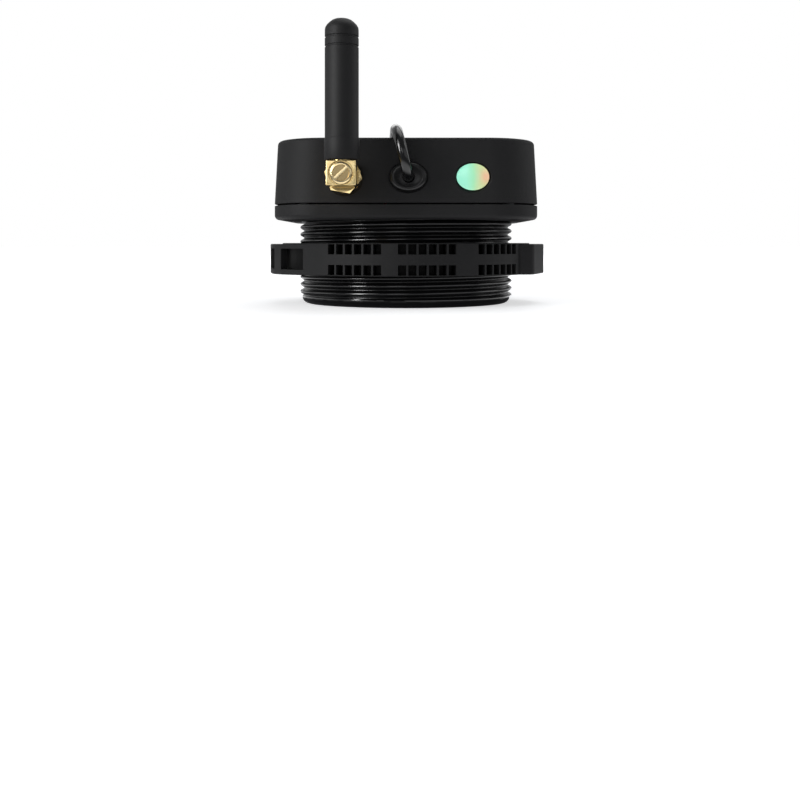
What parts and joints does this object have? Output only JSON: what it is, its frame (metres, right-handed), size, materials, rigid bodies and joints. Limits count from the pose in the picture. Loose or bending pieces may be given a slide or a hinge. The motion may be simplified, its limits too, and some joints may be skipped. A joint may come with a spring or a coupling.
{
  "type": "ultrasonic level sensor",
  "caption": "Square black ultrasonic level sensor on a threaded neck, with an eared lock nut, a swivelling aerial on a brass elbow, a status light and a coiled supply cord.",
  "frame": {"origin": "centre of the sensing face, 1 mm inside the neck's rim", "axes": "-Z is the direction in which the sensor measures; -Y is the front, with the aerial, the cable and the light"},
  "size_m": [0.078, 0.1407, 0.0707],
  "materials": {
    "housing_abs": "moulded ABS, fine matte texture",
    "nut_nylon": "moulded glass-filled nylon, matte",
    "aerial_sleeve": "moulded elastomer, satin",
    "brass_plate": "turned and plated brass, bright",
    "gold_plate": "gold plated, bright",
    "copper_wire": "enamelled copper wire",
    "screw_steel": "stainless, satin",
    "tinned_can": "tinned sheet",
    "cup_aluminium": "anodised grey",
    "seal_rubber": "moulded silicone rubber, matte",
    "grommet_rubber": "moulded rubber, satin",
    "cord_pvc": "PVC jacket, satin",
    "tie_nylon": "moulded nylon, satin",
    "wire_red": "PVC insulation",
    "wire_yellow": "PVC insulation",
    "wire_blue": "PVC insulation",
    "wire_black": "PVC insulation",
    "white_plastic": "moulded, white",
    "light_lens": "clear polycarbonate over a lit two-colour light",
    "board_laminate": "glass-epoxy laminate with green mask",
    "chip_epoxy": "moulded epoxy",
    "terminal_green": "moulded polyamide",
    "matching_epoxy": "glass-bubble epoxy, matte",
    "silvered_ceramic": "silvered ceramic",
    "backing_foam": "cast grey elastomer foam"
  },
  "bodies": {
    "housing": {"upper_cover": "housing_abs", "base_housing": "housing_abs", "cover_seal": "seal_rubber", "cover_screw_1": "screw_steel", "cover_screw_2": "screw_steel", "cover_screw_3": "screw_steel", "cover_screw_4": "screw_steel", "main_board": "board_laminate", "board_screw_1": "screw_steel", "board_screw_2": "screw_steel", "board_screw_3": "screw_steel", "board_screw_4": "screw_steel", "radio_module": "tinned_can", "processor": "chip_epoxy", "pulse_transformer": "chip_epoxy", "terminal_block": "terminal_green", "status_led": "white_plastic", "led_window": "light_lens", "antenna_jack": "brass_plate", "jack_washer": "screw_steel", "jack_nut": "brass_plate", "coax_lead": "cord_pvc", "cable_grommet": "grommet_rubber", "inner_cable": "cord_pvc", "transducer_cup": "cup_aluminium", "matching_layer": "matching_epoxy", "piezo_disc": "silvered_ceramic", "backing_foam": "backing_foam", "isolation_ring": "seal_rubber", "clamp_ring": "nut_nylon", "transducer_lead_red": "wire_red", "transducer_lead_black": "wire_black", "power_cable": "cord_pvc", "cable_coil": "cord_pvc", "cable_tail": "cord_pvc", "cable_tie_1": "tie_nylon", "cable_tie_2": "tie_nylon", "core_red": "wire_red", "core_yellow": "wire_yellow", "core_blue": "wire_blue", "core_black": "wire_black"},
    "lock_nut": {"lock_nut": "nut_nylon"},
    "antenna": {"antenna_elbow": "brass_plate", "elbow_cap": "brass_plate", "antenna_sleeve": "aerial_sleeve", "radiator_core": "white_plastic", "radiator_coil": "copper_wire", "contact_insulator": "white_plastic", "contact_pin": "gold_plate"},
    "coupling_nut": {"coupling_nut": "brass_plate"}
  },
  "joints": [
    {"name": "lock_nut_spin", "type": "hinge", "parent": "housing", "child": "lock_nut", "pos_m": [0, 0, 0.01155], "axis": [0, 0, 1], "continuous": true},
    {"name": "antenna_swivel", "type": "hinge", "parent": "housing", "child": "antenna", "pos_m": [-0.0154, -0.0342, 0.0324], "axis": [0, 1, 0], "range_deg": [-180, 40]},
    {"name": "coupling_spin", "type": "hinge", "parent": "antenna", "child": "coupling_nut", "pos_m": [-0.0154, -0.0342, 0.0324], "axis": [0, 1, 0], "continuous": true}
  ]
}
